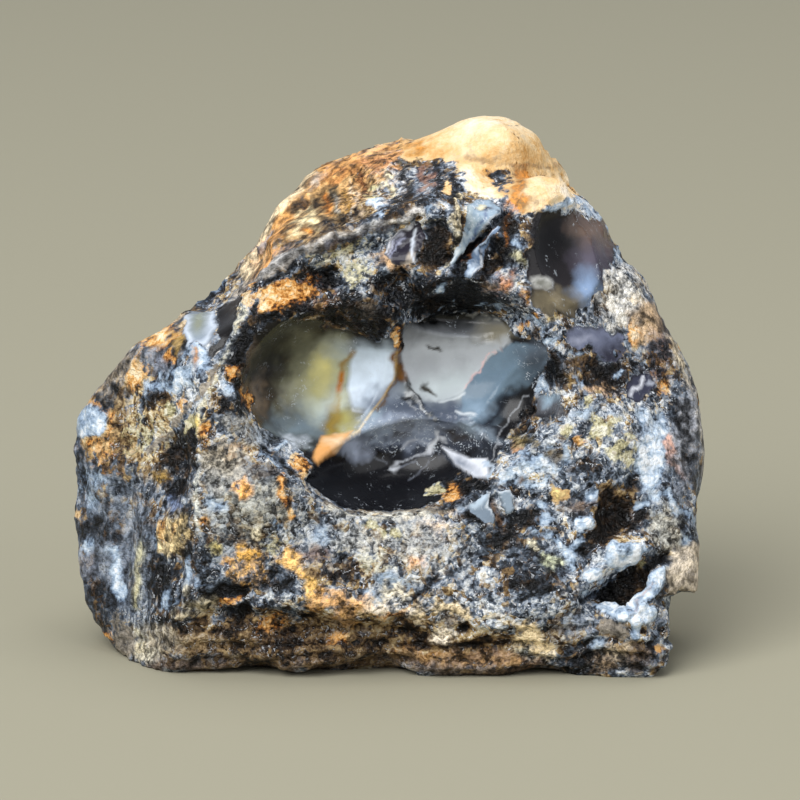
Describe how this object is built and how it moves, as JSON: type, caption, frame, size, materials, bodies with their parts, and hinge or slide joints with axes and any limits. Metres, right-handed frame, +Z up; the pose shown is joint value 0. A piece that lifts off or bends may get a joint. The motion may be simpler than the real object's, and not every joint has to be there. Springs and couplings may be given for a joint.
{
  "type": "rough black opal",
  "caption": "Rough lump of dark opal in speckled grey and tan host rock, with a glassy shell-shaped hollow in the front and a pale chalky cap, standing on a flat base.",
  "frame": {"origin": "centre of the box's bottom face, on the ground that the stone rests on", "axes": "+X along the stone's longest extent, to the right as the glassy hollow is faced; +Y from the front with the hollow towards the back, its shortest extent; +Z up"},
  "size_m": [0.0634, 0.0446, 0.0514],
  "materials": {
    "opal_in_matrix": "rough, grainy silicified rock with glossy dark opal where it has broken open, orange iron stains and a dull cream chalky cap"
  },
  "bodies": {
    "root": {"opal_stone": "opal_in_matrix"}
  },
  "joints": []
}
